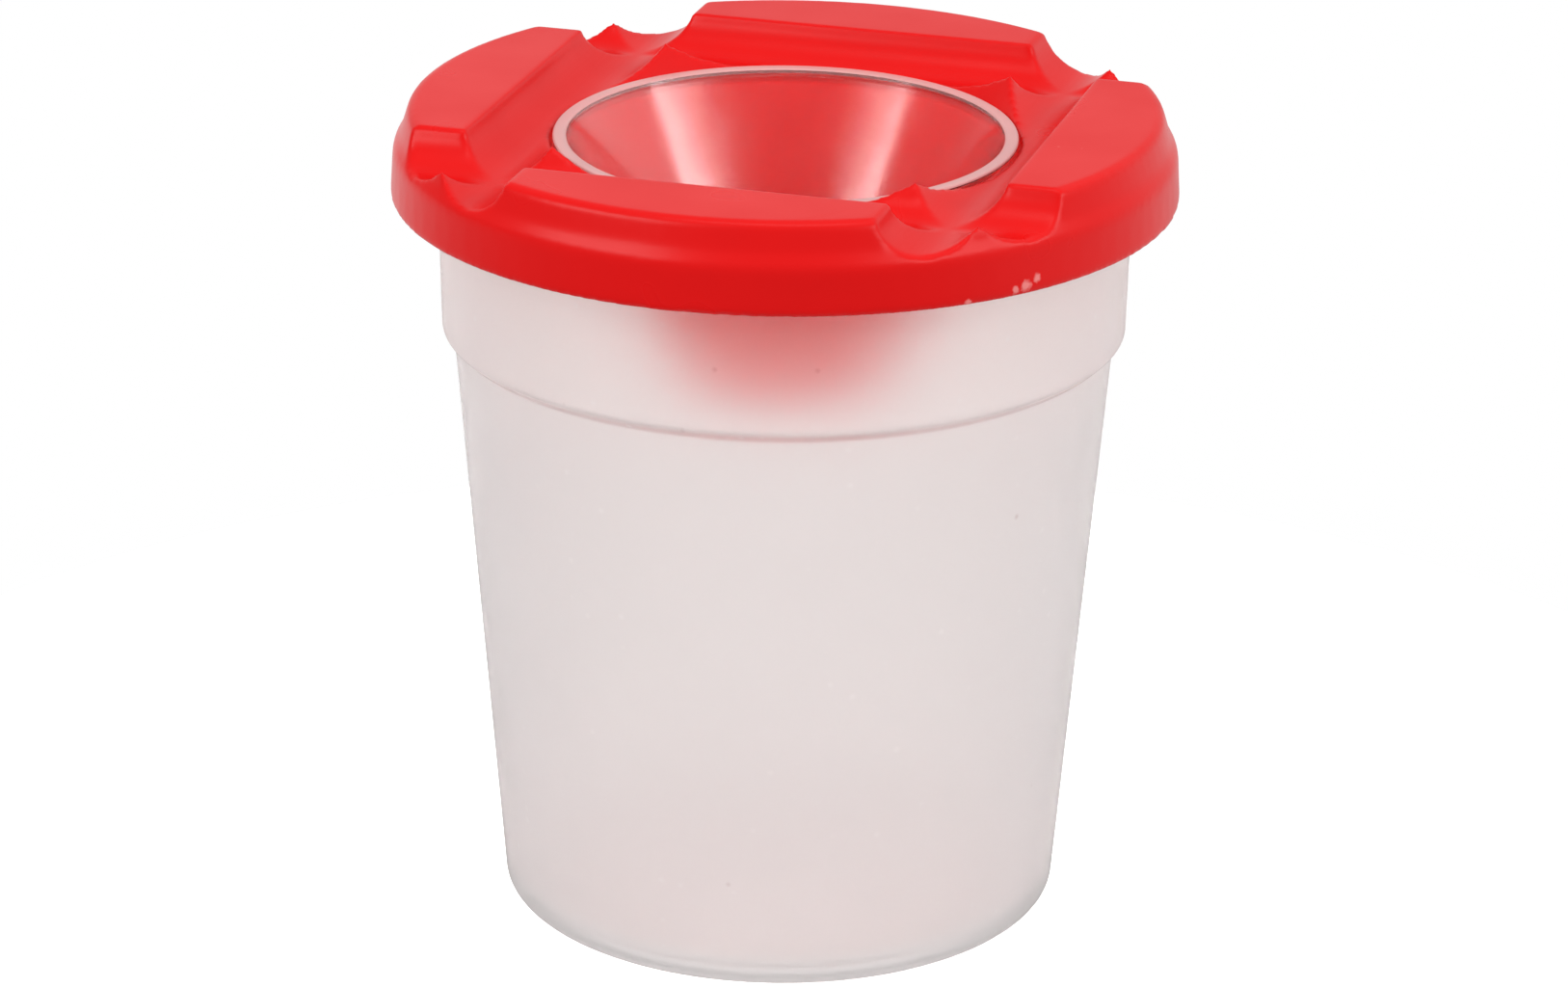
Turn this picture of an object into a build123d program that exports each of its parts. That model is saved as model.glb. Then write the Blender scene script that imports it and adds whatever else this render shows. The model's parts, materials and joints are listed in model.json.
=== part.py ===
from build123d import *
from math import radians, sin, tan
import os

# A non-spill paint cup: a frosted tumbler, a push-on lid with brush rests, and a hollow stopper.
# Lengths are millimetres. The origin is the centre of the base, and +Z points up.

os.makedirs("parts", exist_ok=True)

# Shared by every piece
overrun = 2.0
seat_clearance = 0.3

# The cup: the wall widens up to a small shoulder, with a collar and a rim above it
cup_height = 80.4
cup_wall = 1.2
cup_floor = 1.6
base_radius = 29.0
base_round = 1.8
inner_base_round = 2.4
foot_width = 3.6
foot_recess = 0.5
shoulder_radius = 34.05
shoulder_step = 1.2
shoulder_rise = 1.0
shoulder_round = 0.45
collar_depth = 17.7
collar_draft = 0.35
rim_reach = 2.7
rim_thickness = 1.7
rim_round = 0.5

# The lid's skirt, from the rim of the cup outwards and downwards
lid_wall = 1.4
lid_drop = 3.7
bead_reach = 0.35
bead_round = 0.6
bead_height = 1.1
skirt_draft = 0.3
skirt_edge_round = 0.3
skirt_rise = 1.3
skirt_shoulder_round = 2.0

# The lid's top band, its channels for brushes, and what seats it on the cup
neck_step = 0.75
neck_rise = 1.1
neck_round = 3.0
top_draft = 0.9
top_round = 0.9
rib_clearance = 0.35
groove_depth = 3.65
groove_width = 9.3
groove_inset = 0.55
plug_wall = 1.1
plug_depth = 3.9
seat_width = 2.2

# The lid's hanging cone, which the stopper fits
cone_wall = 1.3
cone_reach = 1.0
cone_lip_round = 0.5
pocket_wall = 1.4
dish_slope = 49

# The stopper
stopper_top_radius = 22.3
stopper_foot_radius = 9.4
stopper_length = 24.7
stopper_wall = 1.1
stopper_floor = 1.2
stopper_foot_round = 0.8
stopper_floor_round = 1.6
stopper_rim_reach = 1.35
stopper_rim_height = 1.5
stopper_rim_width = 1.25
stopper_rim_round = 0.5
stopper_rim_stand = 0.55
stopper_throat_round = 1.2

# Heights above the base
shoulder_top = cup_height - collar_depth
shoulder_foot = shoulder_top - shoulder_rise
rim_foot = cup_height - rim_thickness
skirt_foot = cup_height - lid_drop
skirt_shoulder = cup_height + skirt_rise
groove_floor = cup_height + rib_clearance + lid_wall
lid_top = groove_floor + groove_depth
lid_roof = lid_top - lid_wall
stopper_rim_top = groove_floor + stopper_rim_stand
stopper_seat = stopper_rim_top - stopper_rim_height
stopper_foot = stopper_rim_top - stopper_length
cone_foot = stopper_foot - cone_reach
pocket_foot = stopper_seat - pocket_wall
flare_foot = groove_floor - pocket_wall * (1 / sin(radians(dish_slope)) - 1) * tan(radians(dish_slope))

# Radii, each from the piece it fits
collar_foot_radius = shoulder_radius + shoulder_step
collar_radius = collar_foot_radius + collar_draft
mouth_radius = collar_radius - cup_wall
rim_radius = collar_radius + rim_reach
bead_radius = rim_radius + seat_clearance
skirt_radius = bead_radius + bead_reach + lid_wall
skirt_shoulder_radius = skirt_radius - skirt_draft
neck_radius = skirt_shoulder_radius - neck_step
top_radius = neck_radius - top_draft
plug_radius = mouth_radius - seat_clearance
stopper_rim_radius = stopper_top_radius + stopper_rim_reach
stopper_spread = (stopper_top_radius - stopper_foot_radius) / (stopper_seat - stopper_foot)
well_radius = stopper_foot_radius + stopper_floor * stopper_spread - stopper_wall
pocket_radius = stopper_rim_radius + seat_clearance
bore_top_radius = stopper_top_radius + seat_clearance
bore_foot_radius = stopper_foot_radius + seat_clearance - cone_reach * stopper_spread
dish_radius = pocket_radius + groove_depth / tan(radians(dish_slope))
pocket_wall_radius = pocket_radius + pocket_wall
flare_radius = pocket_wall_radius + (lid_roof - flare_foot) / tan(radians(dish_slope))

# A channel is cut by a round bar whose section has the channel's width and depth
groove_offset = pocket_radius - groove_inset
groove_radius = (groove_width**2 / 4 + groove_depth**2) / (2 * groove_depth)
groove_axis = groove_floor + groove_radius


# The cup: an outer and an inner outline, turned about the axis
with BuildPart() as cup:
    with BuildSketch(Plane.XZ):
        with BuildLine():
            FilletPolyline(
                (0, 0),
                (base_radius, 0),
                (shoulder_radius, shoulder_foot),
                (collar_foot_radius, shoulder_top),
                (collar_radius, rim_foot),
                (rim_radius, rim_foot),
                (rim_radius, cup_height),
                (0, cup_height),
                radius=(base_round, shoulder_round, shoulder_round, rim_round, rim_round, rim_round),
            )
            Line((0, cup_height), (0, 0))
        make_face()
        with BuildLine():
            FilletPolyline(
                (0, cup_floor),
                (base_radius - cup_wall, cup_floor),
                (shoulder_radius - cup_wall, shoulder_foot),
                (collar_foot_radius - cup_wall, shoulder_top),
                (mouth_radius, cup_height + overrun),
                (0, cup_height + overrun),
                radius=(inner_base_round, shoulder_round, shoulder_round, 0),
            )
            Line((0, cup_height + overrun), (0, cup_floor))
        make_face(mode=Mode.SUBTRACT)
    revolve(axis=Axis.Z)
    # The underside is hollowed a little, so that the cup stands on a ring
    with BuildSketch(Plane.XY):
        Circle(base_radius - base_round - foot_width)
    extrude(amount=foot_recess, mode=Mode.SUBTRACT)

cup.part.label = "cup"
export_step(cup.part, "parts/cup.step")


# The hollow under the lid's top, with ridges left out of it below the channels
with BuildPart() as lid_hollow:
    with BuildSketch(Plane.XZ):
        with BuildLine():
            Polyline(
                (0, skirt_foot - overrun),
                (skirt_radius - lid_wall, skirt_foot - overrun),
                (skirt_radius - lid_wall, skirt_foot),
                (skirt_shoulder_radius - lid_wall, cup_height + seat_clearance),
                (top_radius - lid_wall, skirt_shoulder),
                (top_radius - lid_wall, lid_roof),
                (0, lid_roof),
                close=True,
            )
        make_face()
    revolve(axis=Axis.Z)
    for plane in (Plane.YZ, Plane.XZ):
        with BuildSketch(plane.offset(-skirt_radius)):
            with Locations((-groove_offset, groove_axis), (groove_offset, groove_axis)):
                Circle(groove_radius + lid_wall)
        extrude(amount=2 * skirt_radius, mode=Mode.SUBTRACT)


with BuildPart() as lid:
    # The outside, with an upper band that steps out to the skirt
    with BuildSketch(Plane.XZ):
        with BuildLine():
            FilletPolyline(
                (0, lid_top),
                (top_radius, lid_top),
                (neck_radius, skirt_shoulder + neck_rise),
                (skirt_shoulder_radius, skirt_shoulder),
                (skirt_radius, skirt_foot),
                (0, skirt_foot),
                radius=(top_round, neck_round, skirt_shoulder_round, skirt_edge_round),
            )
            Line((0, skirt_foot), (0, lid_top))
        make_face()
    revolve(axis=Axis.Z)
    add(lid_hollow.part, mode=Mode.SUBTRACT)
    # The seat that rests on the rim, and the plug that reaches into the mouth
    with BuildSketch(Plane.XY.offset(cup_height)):
        Circle(plug_radius + seat_width)
        Circle(plug_radius - plug_wall, mode=Mode.SUBTRACT)
    extrude(amount=lid_roof - cup_height)
    with BuildSketch(Plane.XY.offset(cup_height)):
        Circle(plug_radius)
        Circle(plug_radius - plug_wall, mode=Mode.SUBTRACT)
    extrude(amount=-plug_depth)
    # The bead inside the skirt, below the rim
    with BuildSketch(Plane.XZ):
        with Locations((bead_radius + bead_round, skirt_foot + bead_height)):
            Circle(bead_round)
    revolve(axis=Axis.Z)
    # The wall round the pocket and the dish, and the outside of the hanging cone
    with BuildSketch(Plane.XZ):
        with BuildLine():
            Polyline(
                (0, pocket_foot),
                (pocket_wall_radius, pocket_foot),
                (pocket_wall_radius, flare_foot),
                (flare_radius, lid_roof),
                (0, lid_roof),
                close=True,
            )
        make_face()
    revolve(axis=Axis.Z)
    with BuildSketch(Plane.XZ):
        with BuildLine():
            FilletPolyline(
                (0, stopper_seat),
                (bore_top_radius + cone_wall, stopper_seat),
                (bore_foot_radius + cone_wall, cone_foot),
                (0, cone_foot),
                radius=(0, cone_lip_round),
            )
            Line((0, cone_foot), (0, stopper_seat))
        make_face()
    revolve(axis=Axis.Z)
    # The crossing channels
    for plane in (Plane.YZ, Plane.XZ):
        with BuildSketch(plane.offset(-skirt_radius - overrun)):
            with Locations((-groove_offset, groove_axis), (groove_offset, groove_axis)):
                Circle(groove_radius)
        extrude(amount=2 * (skirt_radius + overrun), mode=Mode.SUBTRACT)
    # The hole: the bore of the cone, a pocket for the stopper's rim, and a dish between the channels
    with BuildSketch(Plane.XZ):
        with BuildLine():
            Polyline(
                (0, cone_foot - overrun),
                (bore_foot_radius, cone_foot - overrun),
                (bore_foot_radius, cone_foot),
                (bore_top_radius, stopper_seat),
                (pocket_radius, stopper_seat),
                (pocket_radius, groove_floor),
                (dish_radius, lid_top),
                (dish_radius, lid_top + overrun),
                (0, lid_top + overrun),
                close=True,
            )
        make_face()
    revolve(axis=Axis.Z, mode=Mode.SUBTRACT)

lid.part.label = "lid"
export_step(lid.part, "parts/lid.step")


# The stopper: a hollow, closed cone that hangs from a rounded rim
with BuildPart() as stopper:
    with BuildSketch(Plane.XZ):
        with BuildLine():
            FilletPolyline(
                (0, stopper_foot),
                (stopper_foot_radius, stopper_foot),
                (stopper_top_radius, stopper_seat),
                (stopper_rim_radius, stopper_seat),
                (stopper_rim_radius, stopper_rim_top),
                (stopper_rim_radius - stopper_rim_width, stopper_rim_top),
                (stopper_top_radius - stopper_wall, stopper_seat),
                (well_radius, stopper_foot + stopper_floor),
                (0, stopper_foot + stopper_floor),
                radius=(
                    stopper_foot_round,
                    0,
                    0,
                    stopper_rim_round,
                    stopper_rim_round,
                    stopper_throat_round,
                    stopper_floor_round,
                ),
            )
            Line((0, stopper_foot + stopper_floor), (0, stopper_foot))
        make_face()
    revolve(axis=Axis.Z)

stopper.part.label = "stopper"
export_step(stopper.part, "parts/stopper.step")
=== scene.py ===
import json
import math

import bmesh
import bpy
from mathutils import Matrix, Vector

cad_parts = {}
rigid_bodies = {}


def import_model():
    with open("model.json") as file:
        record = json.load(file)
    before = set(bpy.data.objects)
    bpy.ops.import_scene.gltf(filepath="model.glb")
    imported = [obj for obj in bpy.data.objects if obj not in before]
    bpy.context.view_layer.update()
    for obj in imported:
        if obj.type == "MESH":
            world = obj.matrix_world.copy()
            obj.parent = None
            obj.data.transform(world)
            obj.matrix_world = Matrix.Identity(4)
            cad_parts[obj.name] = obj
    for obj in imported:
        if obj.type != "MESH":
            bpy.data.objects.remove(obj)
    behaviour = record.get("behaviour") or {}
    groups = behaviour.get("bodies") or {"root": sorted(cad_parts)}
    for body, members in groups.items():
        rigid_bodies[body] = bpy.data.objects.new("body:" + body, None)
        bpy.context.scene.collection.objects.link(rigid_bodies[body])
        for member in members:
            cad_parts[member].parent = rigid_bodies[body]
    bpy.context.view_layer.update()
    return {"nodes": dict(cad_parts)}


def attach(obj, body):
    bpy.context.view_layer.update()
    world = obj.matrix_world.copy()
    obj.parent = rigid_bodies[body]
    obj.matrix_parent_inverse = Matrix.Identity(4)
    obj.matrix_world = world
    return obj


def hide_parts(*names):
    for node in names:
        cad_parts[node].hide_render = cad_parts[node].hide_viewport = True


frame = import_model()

mm = 0.001
upward = (0, 0, 1)

# Turned pieces: degrees in a step of a rounding, and the reach of picking and welding, in millimetres
turning = {"stepAngle": 12, "fewestSteps": 3, "pickReach": 0.002, "weldReach": 0.0002}


def activate(piece):
    for other in bpy.context.scene.objects:
        other.select_set(False)
    piece.select_set(True)
    bpy.context.view_layer.objects.active = piece


def selectWhere(piece, kind, test):
    # kind is "verts", "edges" or "faces", and test gets the middle of each in millimetres
    bpy.context.tool_settings.mesh_select_mode = (kind == "verts", kind == "edges", kind == "faces")
    bm = bmesh.from_edit_mesh(piece.data)
    for part in (bm.faces, bm.edges, bm.verts):
        for item in part:
            item.select = False
    for item in getattr(bm, kind):
        points = [item.co] if kind == "verts" else [v.co for v in item.verts]
        middle = sum(points, Vector()) / len(points) / mm
        item.select_set(test(middle))
    bm.select_flush_mode()
    bmesh.update_edit_mesh(piece.data)


def applyModifier(piece, kind, **settings):
    activate(piece)
    modifier = piece.modifiers.new(kind.title(), kind)
    for key, value in settings.items():
        setattr(modifier, key, value)
    bpy.ops.object.modifier_apply(modifier=modifier.name)


def shadeSmooth(piece, angle):
    # edges sharper than the angle, in degrees, stay crisp
    activate(piece)
    bpy.ops.object.shade_smooth_by_angle(angle=math.radians(angle))


def turnedPiece(name, corners, steps):
    # corners are (radius, height, rounding) in millimetres, from the axis outside to the axis inside
    bpy.ops.object.select_all(action="DESELECT")
    bpy.ops.mesh.primitive_plane_add(size=mm, location=(0, 0, 0))
    piece = bpy.context.object
    piece.name = name
    piece.data.name = name
    bpy.ops.object.mode_set(mode="EDIT")
    bpy.ops.mesh.select_all(action="SELECT")
    bpy.ops.mesh.merge(type="CENTER")
    places = [Vector((radius, 0, height)) for radius, height, rounding in corners]
    bpy.ops.transform.translate(value=places[0] * mm)
    for before, after in zip(places, places[1:]):
        bpy.ops.mesh.extrude_region_move(TRANSFORM_OT_translate={"value": (after - before) * mm})
    for index, (radius, height, rounding) in enumerate(corners):
        if rounding:
            before = (places[index] - places[index - 1]).normalized()
            after = (places[index + 1] - places[index]).normalized()
            turn = before.angle(after)
            selectWhere(piece, "verts", lambda p: (p - places[index]).length < turning["pickReach"])
            bpy.ops.mesh.bevel(
                offset_type="OFFSET", offset=rounding * math.tan(turn / 2) * mm, affect="VERTICES",
                segments=max(turning["fewestSteps"], round(math.degrees(turn) / turning["stepAngle"])),
            )
    bpy.ops.mesh.select_all(action="SELECT")
    bpy.ops.mesh.spin(steps=steps, angle=math.tau, center=(0, 0, 0), axis=upward)
    bpy.ops.mesh.select_all(action="SELECT")
    bpy.ops.mesh.remove_doubles(threshold=turning["weldReach"] * mm)
    bpy.ops.mesh.normals_make_consistent(inside=False)
    bpy.ops.object.mode_set(mode="OBJECT")
    return piece


# Short ways to place nodes and to join them
def mathNode(tree, operation, first, second=None, third=None, clamp=False):
    node = tree.nodes.new("ShaderNodeMath")
    node.operation = operation
    node.use_clamp = clamp
    for socket, value in zip(node.inputs, (first, second, third)):
        if value is None:
            continue
        if isinstance(value, (int, float)):
            socket.default_value = value
        else:
            tree.links.new(value, socket)
    return node.outputs[0]


def along(tree, vector, axis):
    node = tree.nodes.new("ShaderNodeVectorMath")
    node.operation = "DOT_PRODUCT"
    node.inputs[1].default_value = axis
    tree.links.new(vector, node.inputs[0])
    return node.outputs["Value"]


def scaled(tree, colour, share):
    node = tree.nodes.new("ShaderNodeVectorMath")
    node.operation = "SCALE"
    tree.links.new(colour, node.inputs[0])
    tree.links.new(share, node.inputs["Scale"])
    return node.outputs["Vector"]


def noiseNode(tree, vector, scale, detail):
    node = tree.nodes.new("ShaderNodeTexNoise")
    node.inputs["Detail"].default_value = detail
    tree.links.new(vector, node.inputs["Vector"])
    if isinstance(scale, (int, float)):
        node.inputs["Scale"].default_value = scale
    else:
        tree.links.new(scale, node.inputs["Scale"])
    return node.outputs["Fac"]


def smoothRange(tree, value, span, reach=(0.0, 1.0)):
    # maps the span of values onto the reach, easing at both ends
    node = tree.nodes.new("ShaderNodeMapRange")
    node.interpolation_type = "SMOOTHSTEP"
    for label, number in zip(("From Min", "From Max", "To Min", "To Max"), (*span, *reach)):
        node.inputs[label].default_value = number
    tree.links.new(value, node.inputs["Value"])
    return node.outputs["Result"]


def grey(tone):
    return (tone, tone, tone)


def colourMix(tree, share, first, second):
    node = tree.nodes.new("ShaderNodeMix")
    node.data_type = "RGBA"
    tree.links.new(share, node.inputs["Factor"])
    for socket, value in ((node.inputs["A"], first), (node.inputs["B"], second)):
        if isinstance(value, tuple):
            socket.default_value = (*value, 1)
        else:
            tree.links.new(value, socket)
    return node.outputs["Result"]


def toneRamp(tree, value, stops, blend="B_SPLINE"):
    # each stop is a position and a colour, or a grey
    node = tree.nodes.new("ShaderNodeValToRGB")
    ramp = node.color_ramp
    ramp.interpolation = blend
    for index, (position, tone) in enumerate(stops):
        element = ramp.elements[index] if index < 2 else ramp.elements.new(position)
        element.position = position
        element.color = (*(tone if isinstance(tone, tuple) else grey(tone)), 1)
    tree.links.new(value, node.inputs["Fac"])
    return node.outputs["Color"]


# Shared effects, as node groups
effects = {
    "waveDetail": 2.0, "grainDetail": 1.0,
    # the ragged edge of a rubbed patch: its noise, and how sharply and where it cuts off
    "raggedScale": 1700.0, "raggedDetail": 2.0, "raggedGain": 2.4, "raggedOffset": -2.0,
    "noiseSpan": (0.2, 0.8),  # where nearly all of a noise's values lie
    "bumpDistance": 0.1,  # millimetres
}


def newGroup(name, inputs, outputs):
    group = bpy.data.node_groups.new(name, "ShaderNodeTree")
    for direction, sockets in (("INPUT", inputs), ("OUTPUT", outputs)):
        for label, kind in sockets:
            group.interface.new_socket(name=label, in_out=direction, socket_type="NodeSocket" + kind)
    inside = group.nodes.new("NodeGroupInput").outputs
    return group, inside, group.nodes.new("NodeGroupOutput").inputs


def makeSpecks():
    # small round flecks: Share says how many of the cells have one, and Size how much of its cell it fills
    group, inside, outside = newGroup(
        "mouldingSpecks", [("Vector", "Vector"), ("Scale", "Float"), ("Size", "Float"), ("Share", "Float")],
        [("Mask", "Float")])
    cells = group.nodes.new("ShaderNodeTexVoronoi")
    group.links.new(inside["Vector"], cells.inputs["Vector"])
    group.links.new(inside["Scale"], cells.inputs["Scale"])
    near = mathNode(group, "DIVIDE", cells.outputs["Distance"], inside["Size"])
    spot = mathNode(group, "SUBTRACT", 1.0, near, clamp=True)
    tone = group.nodes.new("ShaderNodeSeparateColor")
    group.links.new(cells.outputs["Color"], tone.inputs["Color"])
    picked = mathNode(group, "LESS_THAN", tone.outputs["Red"], inside["Share"])
    group.links.new(mathNode(group, "MULTIPLY", spot, picked), outside["Mask"])
    return group


def makeSkin():
    # the slow waviness and fine grain that a moulded surface keeps
    group, inside, outside = newGroup(
        "mouldedSkin",
        [("Vector", "Vector"), ("Wave Scale", "Float"), ("Grain Scale", "Float"), ("Grain Share", "Float")],
        [("Height", "Float"), ("Tone", "Float")])
    wave = noiseNode(group, inside["Vector"], inside["Wave Scale"], effects["waveDetail"])
    grain = noiseNode(group, inside["Vector"], inside["Grain Scale"], effects["grainDetail"])
    group.links.new(mathNode(group, "MULTIPLY_ADD", grain, inside["Grain Share"], wave), outside["Height"])
    group.links.new(wave, outside["Tone"])
    return group


def makeScuff():
    # a small rubbed patch with a ragged edge
    group, inside, outside = newGroup(
        "rubbedPatch", [("Vector", "Vector"), ("Place", "Vector"), ("Size", "Float")], [("Mask", "Float")])
    reach = group.nodes.new("ShaderNodeVectorMath")
    reach.operation = "DISTANCE"
    group.links.new(inside["Vector"], reach.inputs[0])
    group.links.new(inside["Place"], reach.inputs[1])
    near = mathNode(group, "SUBTRACT", 1.0, mathNode(group, "DIVIDE", reach.outputs["Value"], inside["Size"]))
    noise = noiseNode(group, inside["Vector"], effects["raggedScale"], effects["raggedDetail"])
    ragged = mathNode(group, "ADD", near, noise)
    mask = mathNode(group, "MULTIPLY_ADD", ragged, effects["raggedGain"], effects["raggedOffset"], clamp=True)
    group.links.new(mask, outside["Mask"])
    return group


specks = makeSpecks()
scuff = makeScuff()
skin = makeSkin()


def newMaterial(name):
    material = bpy.data.materials.new(name)
    material.use_nodes = True
    tree = material.node_tree
    shader = tree.nodes["Principled BSDF"]
    place = tree.nodes.new("ShaderNodeTexCoord").outputs["Object"]
    return material, tree, shader, place


def placeGroup(tree, group, place, values):
    node = tree.nodes.new("ShaderNodeGroup")
    node.node_tree = group
    tree.links.new(place, node.inputs["Vector"])
    for label, value in values.items():
        node.inputs[label].default_value = value
    return node.outputs


def addSkin(tree, shader, tone, roughness, strength):
    # the moulded skin varies the roughness between two values, and lifts the surface a little
    rough = smoothRange(tree, tone["Tone"], effects["noiseSpan"], roughness)
    tree.links.new(rough, shader.inputs["Roughness"])
    bump = tree.nodes.new("ShaderNodeBump")
    bump.inputs["Strength"].default_value = strength
    bump.inputs["Distance"].default_value = effects["bumpDistance"] * mm
    tree.links.new(tone["Height"], bump.inputs["Height"])
    tree.links.new(bump.outputs["Normal"], shader.inputs["Normal"])


# The camera, where the photograph's was: metres, degrees, and millimetres for the lens
camera = {
    "place": (0.1568, -0.5373, 0.2593), "heading": 16.25, "down": 21.11, "roll": -0.55,
    "lens": 131.74, "sensor": 36, "nearest": 0.01,
}


def facing(turn, rise):
    # the direction that is turned left from +Y, and lifted from level
    return Vector((-math.sin(turn) * math.cos(rise), math.cos(turn) * math.cos(rise), math.sin(rise)))


def makeCamera():
    heading, down, roll = (math.radians(camera[key]) for key in ("heading", "down", "roll"))
    forward = facing(heading, -down)
    right = Vector((math.cos(heading), math.sin(heading), 0))
    up = right.cross(forward)
    rightTurned = right * math.cos(roll) - up * math.sin(roll)
    upTurned = up * math.cos(roll) + right * math.sin(roll)
    data = bpy.data.cameras.new("camera")
    data.lens = camera["lens"]
    data.sensor_width = camera["sensor"]
    data.clip_start = camera["nearest"]
    viewer = bpy.data.objects.new("camera", data)
    axes = Matrix((rightTurned, upTurned, -forward)).transposed().to_4x4()
    viewer.matrix_world = Matrix.Translation(Vector(camera["place"])) @ axes
    bpy.context.scene.collection.objects.link(viewer)
    bpy.context.scene.camera = viewer


makeCamera()
print("camera ready")


# The floor, the white surroundings and three soft lights
studio = {
    # the floor's tone as lit and as mirrored, and how it glows to the camera and through the clear pieces
    "floorRadius": 0.12, "floorSides": 96,
    "floorTone": 0.72, "floorMirrored": 0.5, "floorWhite": 0.8, "floorBelow": 0.95,
    # the light that falls on the object, from straight below to straight above
    "sky": [(0.0, 0.36), (0.55, 0.7), (1.0, 1.0)],
    # how many times the sky light is added for a ray that leaves clear plastic, which can't meet the lamps
    "insideShare": 2.6,
    # what shiny surfaces mirror, round the room: the front, the left, the back, the right and the front again
    "roomLow": [
        (0.0, 0.08), (0.14, 0.1), (0.24, 0.5), (0.40, 1.1), (0.47, 1.2), (0.54, 0.6),
        (0.66, 1.0), (0.74, 1.6), (0.80, 1.4), (0.88, 0.14), (1.0, 0.08),
    ],
    "roomMiddle": [
        (0.0, 0.08), (0.14, 0.1), (0.28, 0.2), (0.37, 0.2), (0.46, 0.9), (0.54, 0.4),
        (0.63, 0.9), (0.74, 1.5), (0.80, 1.3), (0.88, 0.14), (1.0, 0.08),
    ],
    "roomHigh": [(0.0, 0.08), (0.25, 0.2), (0.5, 0.25), (0.68, 1.3), (0.80, 1.3), (0.9, 0.1)],
    "lowToMiddle": (-0.12, 0.1), "middleToHigh": (0.38, 0.6),  # by the sine of the angle above level
    # a depth is a whole number: at least one, and at most two crossings of a clear surface
    "once": 0.5, "twice": 2.5,
    # each lamp: degrees left of the camera, degrees up, distance, width, height, watts
    "lamps": [
        (57.5, 32, 0.62, 0.40, 0.20, 1.5), (-59, 32, 0.62, 0.52, 0.20, 1.6), (10, 78, 0.60, 0.34, 0.22, 0.5),
    ],
    "lampAim": 0.08,  # the height that the lamps face
}


def surroundings(tree):
    heading = math.radians(camera["heading"])
    direction = tree.nodes.new("ShaderNodeTexCoord").outputs["Generated"]
    rise = along(tree, direction, upward)
    aside = along(tree, direction, (math.cos(heading), math.sin(heading), 0))
    away = along(tree, direction, facing(heading, 0))
    light = toneRamp(tree, mathNode(tree, "MULTIPLY_ADD", rise, 0.5, 0.5), studio["sky"], "EASE")
    turn = mathNode(tree, "MULTIPLY_ADD", mathNode(tree, "ARCTAN2", aside, away), 0.5 / math.pi, 0.5)
    low, middle, high = (toneRamp(tree, turn, studio[key]) for key in ("roomLow", "roomMiddle", "roomHigh"))
    room = colourMix(tree, smoothRange(tree, rise, studio["lowToMiddle"]), low, middle)
    room = colourMix(tree, smoothRange(tree, rise, studio["middleToHigh"]), room, high)
    return light, room


def makeWorld():
    world = bpy.data.worlds.new("studio")
    bpy.context.scene.world = world
    world.use_nodes = True
    tree = world.node_tree
    tree.nodes.clear()
    light, room = surroundings(tree)

    # the backdrop is white to the camera and through clear plastic, but not to a mirrored or scattered ray
    path = tree.nodes.new("ShaderNodeLightPath").outputs
    reflected = mathNode(tree, "GREATER_THAN", path["Glossy Depth"], studio["once"])
    direct = mathNode(tree, "LESS_THAN", path["Transmission Depth"], studio["twice"])
    reflected = mathNode(tree, "MULTIPLY", reflected, direct)
    scattered = mathNode(tree, "GREATER_THAN", path["Diffuse Depth"], studio["once"])
    through = mathNode(tree, "SUBTRACT", path["Is Transmission Ray"], reflected, clamp=True)
    through = mathNode(tree, "SUBTRACT", through, scattered, clamp=True)
    mirrored = mathNode(tree, "SUBTRACT", reflected, scattered, clamp=True)
    inside = mathNode(tree, "MULTIPLY_ADD", path["Is Transmission Ray"], studio["insideShare"], 1.0)
    shown = colourMix(tree, mirrored, scaled(tree, light, inside), room)
    seen = mathNode(tree, "MAXIMUM", path["Is Camera Ray"], through)
    shown = colourMix(tree, seen, shown, grey(1))
    background = tree.nodes.new("ShaderNodeBackground")
    tree.links.new(shown, background.inputs["Color"])
    out = tree.nodes.new("ShaderNodeOutputWorld")
    tree.links.new(background.outputs[0], out.inputs["Surface"])


def makeFloor():
    bpy.ops.mesh.primitive_circle_add(
        vertices=studio["floorSides"], radius=studio["floorRadius"], fill_type="NGON", location=(0, 0, 0))
    floor = bpy.context.object
    floor.name = "floor"
    material = bpy.data.materials.new("floorWhite")
    material.use_nodes = True
    tree = material.node_tree
    shader = tree.nodes["Principled BSDF"]
    shader.inputs["Roughness"].default_value = 1.0
    shader.inputs["Specular IOR Level"].default_value = 0.0
    shader.inputs["Emission Color"].default_value = (1, 1, 1, 1)
    # through clear plastic the floor is nearly as white as the backdrop, and takes no light or shade
    path = tree.nodes.new("ShaderNodeLightPath").outputs
    below = path["Is Transmission Ray"]
    dull = colourMix(tree, path["Is Glossy Ray"], grey(studio["floorTone"]), grey(studio["floorMirrored"]))
    tree.links.new(colourMix(tree, below, dull, grey(0)), shader.inputs["Base Color"])
    glow = mathNode(tree, "MULTIPLY", path["Is Camera Ray"], studio["floorWhite"])
    glow = mathNode(tree, "MULTIPLY_ADD", below, studio["floorBelow"], glow)
    tree.links.new(glow, shader.inputs["Emission Strength"])
    floor.data.materials.append(material)


def makeLamps():
    # each lamp stands at an angle from the camera's side, and faces the axis at the height of the lid
    heading = math.radians(camera["heading"])
    for index, (aside, above, distance, width, height, power) in enumerate(studio["lamps"]):
        outward = -facing(heading - math.radians(aside), -math.radians(above))
        data = bpy.data.lights.new(f"softbox{index}", "AREA")
        data.shape = "RECTANGLE"
        data.size = width
        data.size_y = height
        data.energy = power
        lamp = bpy.data.objects.new(f"softbox{index}", data)
        lamp.location = Vector((0, 0, studio["lampAim"])) + outward * distance
        lamp.rotation_euler = outward.to_track_quat("Z", "Y").to_euler()
        bpy.context.scene.collection.objects.link(lamp)


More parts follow.
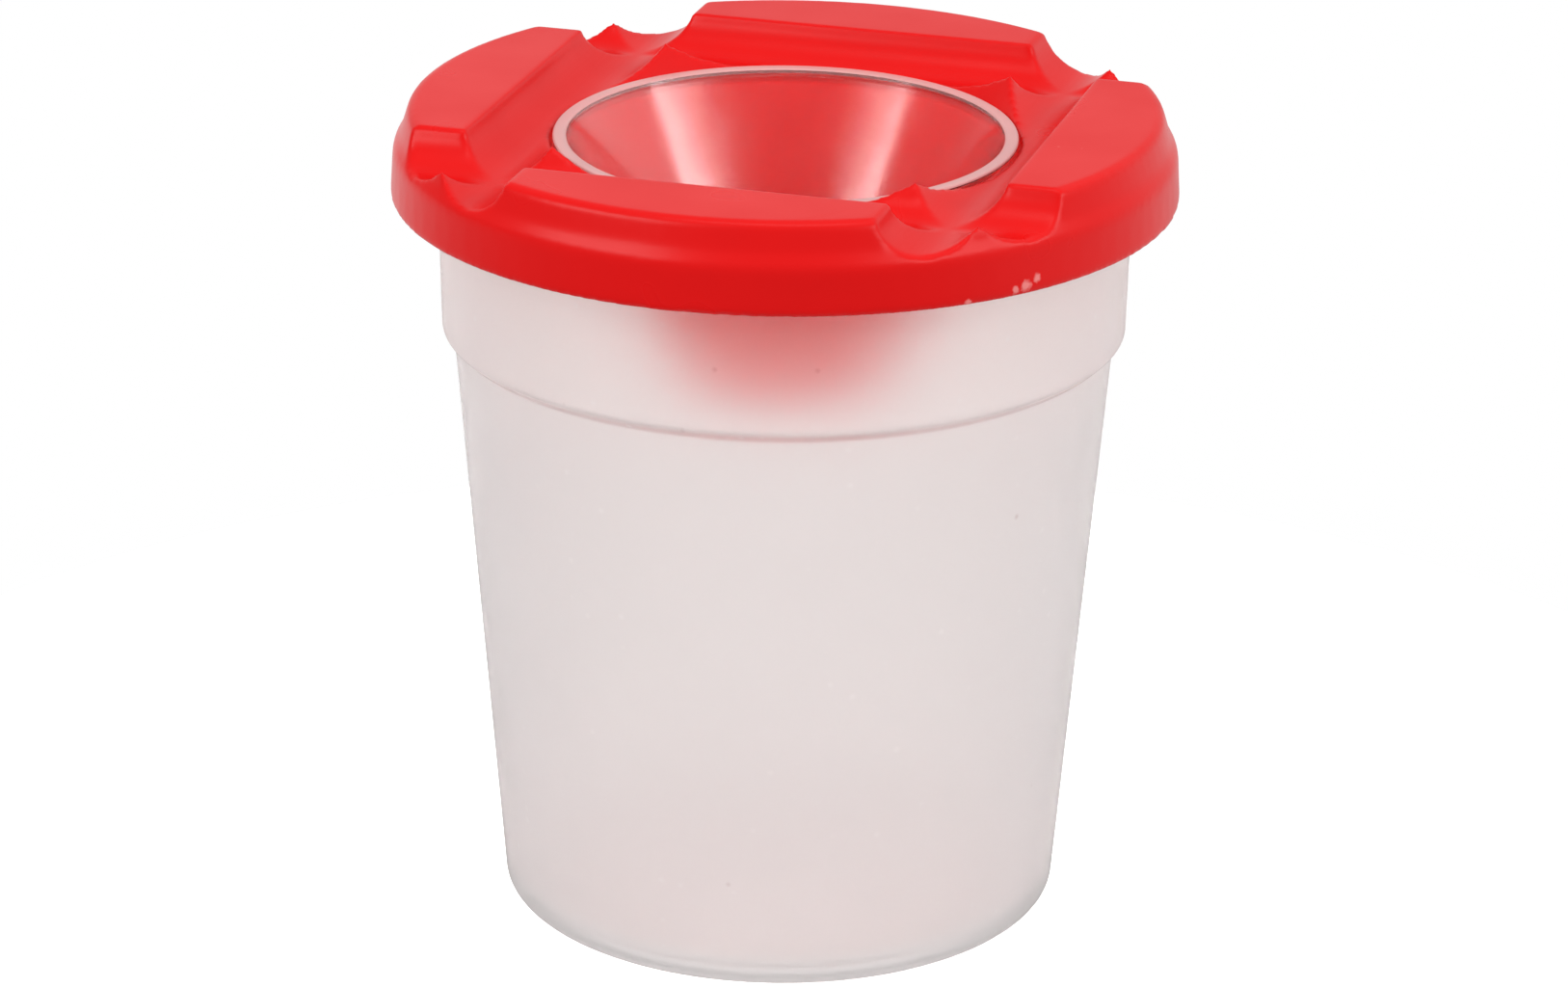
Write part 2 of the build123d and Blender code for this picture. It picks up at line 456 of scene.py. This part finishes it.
makeWorld()
makeFloor()
makeLamps()
print("studio ready")


# The cup: a frosted tumbler with a collar and a rim
cup = {
    "outline": [
        (0, 0.5, 0), (23.6, 0.5, 0), (23.6, 0, 0), (29.0, 0, 1.8), (34.05, 61.7, 0.45), (35.25, 62.7, 0.45),
        (35.6, 78.7, 0.5), (38.3, 78.7, 0.5), (38.3, 80.4, 0.5), (34.36, 80.4, 0.2), (34.05, 62.7, 0.45),
        (32.85, 61.7, 0.45), (27.8, 1.6, 2.4), (0, 1.6, 0),
    ],
    "steps": 256, "crispAngle": 40,
    # the plastic's tint by height above the base, in millimetres, with painted light: lighter at the base and
    # towards the collar and rim, to lift the shade there
    "height": 80.4,
    "tintWithPaintedLight": [
        (0, (0.915, 0.857, 0.85)), (26, (0.875, 0.848, 0.843)), (56, (0.882, 0.845, 0.84)),
        (66, (0.93, 0.872, 0.862)), (80.4, (0.95, 0.88, 0.865)),
    ],
    # a painted shade line along the shoulder's crease: its height, how far it fades each way, and its tone
    "shoulderShadeHeight": 62.2, "shoulderShadeReach": 0.7, "shoulderShadeColour": (0.85, 0.7, 0.69),
    "speckLight": (0.96, 0.93, 0.92), "lightSpecks": {"Scale": 520.0, "Size": 0.22, "Share": 0.12},
    "speckDark": (0.62, 0.52, 0.51), "darkSpecks": {"Scale": 310.0, "Size": 0.12, "Share": 0.05},
    "skin": {"Wave Scale": 90.0, "Grain Scale": 2600.0, "Grain Share": 0.5},
    "roughness": (0.43, 0.49), "bump": 0.1, "transmission": 0.9, "bend": 1.3,
}


def frostedPlastic():
    material, tree, shader, place = newMaterial("frostedPlastic")
    tall = cup["height"]
    height = mathNode(tree, "MULTIPLY", along(tree, place, upward), 1 / (tall * mm))
    # the plastic's tint, with painted light by height
    colour = toneRamp(tree, height, [(up / tall, shade) for up, shade in cup["tintWithPaintedLight"]])
    # a painted shade line along the shoulder's crease
    fromShoulderShade = mathNode(tree, "ABSOLUTE", mathNode(tree, "SUBTRACT", height, cup["shoulderShadeHeight"] / tall))
    onShoulderShade = mathNode(tree, "MULTIPLY_ADD", fromShoulderShade, -tall / cup["shoulderShadeReach"], 1.0, clamp=True)
    colour = colourMix(tree, onShoulderShade, colour, cup["shoulderShadeColour"])
    for flecks, shade in (("lightSpecks", "speckLight"), ("darkSpecks", "speckDark")):
        mask = placeGroup(tree, specks, place, cup[flecks])["Mask"]
        colour = colourMix(tree, mask, colour, cup[shade])
    tree.links.new(colour, shader.inputs["Base Color"])
    shader.inputs["IOR"].default_value = cup["bend"]
    shader.inputs["Transmission Weight"].default_value = cup["transmission"]
    addSkin(tree, shader, placeGroup(tree, skin, place, cup["skin"]), cup["roughness"], cup["bump"])
    return material


def makeCup():
    piece = turnedPiece("frostedCup", cup["outline"], cup["steps"])
    shadeSmooth(piece, cup["crispAngle"])
    piece.data.materials.append(frostedPlastic())
    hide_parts("cup")
    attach(piece, "cup")


makeCup()
print("cup ready")


# The lid: one red moulding, its edges rounded as a moulding's are
lid = {
    # how finely it's laid out in millimetres, how much it's softened, and how many triangles it keeps
    "weldReach": 0.002, "grid": 0.33, "softening": 8, "softStep": 0.5, "triangles": 190000, "crispAngle": 50,
    "colour": (0.635, 0.004, 0.004), "deep": (0.6, 0.002, 0.002), "pale": (0.74, 0.2, 0.19),
    "skin": {"Wave Scale": 70.0, "Grain Scale": 3200.0, "Grain Share": 0.25},
    "roughness": (0.26, 0.34), "bump": 0.12, "shine": 0.16,
    # rubbed places, in millimetres, and how wide each is
    "scuffs": [
        ((31.7, -24.8, 77.7), 1.1), ((32.5, -23.7, 78.2), 0.8), ((30.9, -25.8, 77.5), 0.7),
        ((27.2, -29.7, 77.1), 0.6), ((29.9, -5.4, 86.0), 0.4), ((32.3, -5.3, 86.0), 0.35),
    ],
}


def redPlastic():
    material, tree, shader, place = newMaterial("redPlastic")
    tone = placeGroup(tree, skin, place, lid["skin"])
    depth = smoothRange(tree, tone["Tone"], effects["noiseSpan"])
    colour = colourMix(tree, depth, lid["colour"], lid["deep"])
    for spot, size in lid["scuffs"]:
        patch = {"Place": [value * mm for value in spot], "Size": size * mm}
        colour = colourMix(tree, placeGroup(tree, scuff, place, patch)["Mask"], colour, lid["pale"])
    tree.links.new(colour, shader.inputs["Base Color"])
    shader.inputs["Specular IOR Level"].default_value = lid["shine"]
    addSkin(tree, shader, tone, lid["roughness"], lid["bump"])
    return material


def makeLid():
    # the solid's own surface, laid out afresh so that every edge can be softened
    activate(frame["nodes"]["lid"])
    bpy.ops.object.duplicate()
    piece = bpy.context.object
    piece.name = "redLid"
    piece.data.name = "redLid"
    piece.parent = None
    for key in list(piece.keys()):
        del piece[key]
    piece.data.materials.clear()
    bpy.ops.object.mode_set(mode="EDIT")
    bpy.ops.mesh.select_all(action="SELECT")
    bpy.ops.mesh.remove_doubles(threshold=lid["weldReach"] * mm)
    bpy.ops.object.mode_set(mode="OBJECT")
    applyModifier(piece, "REMESH", mode="VOXEL", voxel_size=lid["grid"] * mm)
    applyModifier(piece, "SMOOTH", factor=lid["softStep"], iterations=lid["softening"])
    triangles = sum(len(face.vertices) - 2 for face in piece.data.polygons)
    applyModifier(piece, "DECIMATE", ratio=min(1, lid["triangles"] / triangles))
    shadeSmooth(piece, lid["crispAngle"])
    piece.data.materials.append(redPlastic())
    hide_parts("lid")
    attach(piece, "lid")


makeLid()
print("lid ready")


# The stopper: a hollow, clear cone that hangs from a thin, milky rim, with painted red and shade in the rim
stopper = {
    "outline": [
        (0, 58.0, 0), (9.4, 58.0, 0.8), (22.72, 81.95, 0.8), (23.8, 82.3, 0.1), (23.8, 82.7, 0.25),
        (22.5, 82.7, 0.3), (8.967, 59.2, 1.6), (0, 59.2, 0),
    ],
    "steps": 224, "crispAngle": 40, "rimFoot": 82.45,
    "skin": {"Wave Scale": 110.0, "Grain Scale": 2400.0, "Grain Share": 0.3},
    "darkSpecks": {"Scale": 300.0, "Size": 0.1, "Share": 0.04}, "speckShade": 0.75,
    "bend": 1.6, "bump": 0.15,
    # one material each, by name, in the order of the slots
    "plastics": {
        "clearPlastic": {"colour": (0.99, 0.94, 0.93), "roughness": (0.09, 0.17), "transmission": 0.995},
        # the rim's plastic is milky, and its pink-red tone is painted: the red lid seen through it and the
        # shade under its flange
        "milkyRimAndPaintedShade": {"colour": (0.76, 0.4, 0.39), "roughness": (0.32, 0.4), "transmission": 0.3},
    },
}


def clearPlastic(name, look):
    material, tree, shader, place = newMaterial(name)
    dark = placeGroup(tree, specks, place, stopper["darkSpecks"])["Mask"]
    shade = tuple(part * stopper["speckShade"] for part in look["colour"])
    tree.links.new(colourMix(tree, dark, look["colour"], shade), shader.inputs["Base Color"])
    shader.inputs["IOR"].default_value = stopper["bend"]
    shader.inputs["Transmission Weight"].default_value = look["transmission"]
    addSkin(tree, shader, placeGroup(tree, skin, place, stopper["skin"]), look["roughness"], stopper["bump"])
    return material


def makeStopper():
    piece = turnedPiece("hollowStopper", stopper["outline"], stopper["steps"])
    shadeSmooth(piece, stopper["crispAngle"])
    for name, look in stopper["plastics"].items():
        piece.data.materials.append(clearPlastic(name, look))
    bpy.ops.object.mode_set(mode="EDIT")
    # the faces above the rim's foot get the milky plastic with its painted red and shade
    selectWhere(piece, "faces", lambda p: p.z > stopper["rimFoot"])
    piece.active_material_index = list(stopper["plastics"]).index("milkyRimAndPaintedShade")
    bpy.ops.object.material_slot_assign()
    bpy.ops.object.mode_set(mode="OBJECT")
    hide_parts("stopper")
    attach(piece, "stopper")


makeStopper()
print("stopper ready")

bpy.context.scene.view_settings.view_transform = "Standard"
